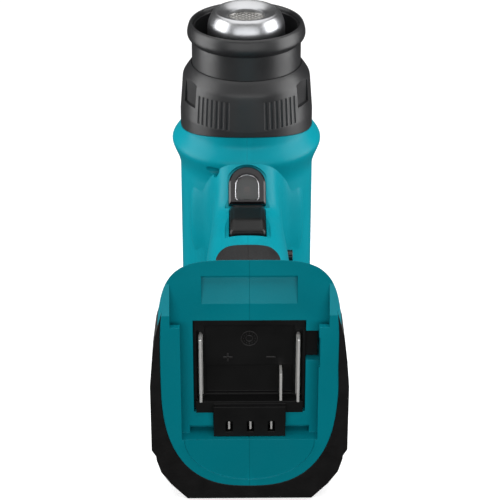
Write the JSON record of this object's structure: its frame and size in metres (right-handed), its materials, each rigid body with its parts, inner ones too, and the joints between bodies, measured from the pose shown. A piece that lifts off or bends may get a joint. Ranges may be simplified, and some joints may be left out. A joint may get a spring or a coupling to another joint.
{
  "type": "heat gun",
  "caption": "Cordless pistol-grip heat gun with a steel air nozzle in a protective sleeve, a knurled lock ring, a trigger with lamp and a foot for a slide-on battery.",
  "frame": {"origin": "on the barrel axis, at the flat rear face of the tool, which is also the plane it stands on with the nozzle up", "axes": "+Z along the barrel towards the nozzle, -Y from the barrel down the grip to the battery foot, +X to the tool's left"},
  "size_m": [0.0828, 0.1986, 0.1616],
  "materials": {
    "teal_shell": "satin moulded, fine texture",
    "grip_rubber": "matte soft grip",
    "bumper_rubber": "satin",
    "black_plastic": "satin",
    "black_gloss": "gloss",
    "protector_resin": "satin",
    "heat_resin": "matte",
    "fan_plastic": "matte",
    "filter_mesh": "matte",
    "motor_steel": "zinc plated",
    "magnet_ferrite": "matte",
    "bronze": "sintered",
    "shaft_steel": "ground",
    "nozzle_steel": "satin polished",
    "grille_steel": "heat tinted",
    "shield_steel": "mill",
    "spring_steel": "bright",
    "screw_steel": "black zinc",
    "mica": "matte",
    "former_ceramic": "matte",
    "heater_wire": "oxidised",
    "sensor_glass": "gloss",
    "clear_lens": "clear",
    "pcb": "solder mask",
    "pcb_parts": "matte",
    "led_phosphor": "gloss",
    "terminal_plastic": "matte",
    "blade_plating": "nickel plated",
    "heat_sink": "extruded",
    "lead_red": "satin",
    "lead_black": "satin",
    "lead_white": "glass braid"
  },
  "bodies": {
    "housing": {"housing_left": "teal_shell", "housing_right": "teal_shell", "grip_left": "grip_rubber", "grip_right": "grip_rubber", "foot_bumper": "bumper_rubber", "rear_cover": "black_plastic", "dust_filter": "filter_mesh", "motor_can": "motor_steel", "motor_end_cap": "black_plastic", "motor_magnets": "magnet_ferrite", "motor_bushes": "bronze", "motor_holder": "heat_resin", "nozzle_tube": "nozzle_steel", "nozzle_grille": "grille_steel", "mica_liner": "mica", "heater_former": "mica", "former_end_ring": "former_ceramic", "heater_coil": "heater_wire", "heater_flange": "former_ceramic", "heat_shield": "shield_steel", "front_plate": "shield_steel", "thermal_sensor": "sensor_glass", "trigger_spring": "spring_steel", "trigger_switch": "black_plastic", "dial_potentiometer": "pcb_parts", "lamp_bezel": "black_gloss", "lamp_lens": "clear_lens", "lamp_board": "pcb", "lamp_led": "led_phosphor", "terminal_block": "terminal_plastic", "power_blades": "blade_plating", "signal_blade": "blade_plating", "signal_contacts": "blade_plating", "control_board": "pcb", "board_heat_sink": "heat_sink", "board_components": "pcb_parts", "lead_red": "lead_red", "lead_black": "lead_black", "heater_lead": "lead_white", "housing_screws": "screw_steel"},
    "protector": {"protector_sleeve": "protector_resin"},
    "lock_ring_body": {"lock_ring": "protector_resin"},
    "rotor": {"fan_impeller": "fan_plastic", "motor_armature": "motor_steel", "motor_shaft": "shaft_steel"},
    "trigger_body": {"trigger": "black_plastic"},
    "lock_button": {"lock_on_button": "black_plastic"},
    "dial": {"temperature_dial": "black_plastic"}
  },
  "joints": [
    {"name": "protector_rise", "type": "slide", "parent": "housing", "child": "protector", "axis": [0, 0, 1], "range_m": [0, 0.0027]},
    {"name": "lock_ring_twist", "type": "hinge", "parent": "protector", "child": "lock_ring_body", "pos_m": [0, 0, 0.12], "axis": [0, 0, 1], "range_deg": [0, 25]},
    {"name": "fan_spin", "type": "hinge", "parent": "housing", "child": "rotor", "pos_m": [0, 0, 0.03], "axis": [0, 0, 1], "continuous": true},
    {"name": "trigger_slide", "type": "slide", "parent": "housing", "child": "trigger_body", "axis": [0, 0, -1], "range_m": [0, 0.0055], "stiffness_N_per_m": 600, "springref_m": -0.003, "deforming": ["trigger_spring"]},
    {"name": "lock_button_push", "type": "slide", "parent": "housing", "child": "lock_button", "axis": [-1, 0, 0], "range_m": [0, 0.0022], "stiffness_N_per_m": 200, "springref_m": -0.0015},
    {"name": "dial_turn", "type": "hinge", "parent": "housing", "child": "dial", "pos_m": [0, 0.0254, 0.038], "axis": [1, 0, 0], "range_deg": [0, 270]}
  ],
  "couplings": [
    {"joint": "lock_ring_twist", "follows": "protector_rise", "rad_per_m": 160}
  ]
}
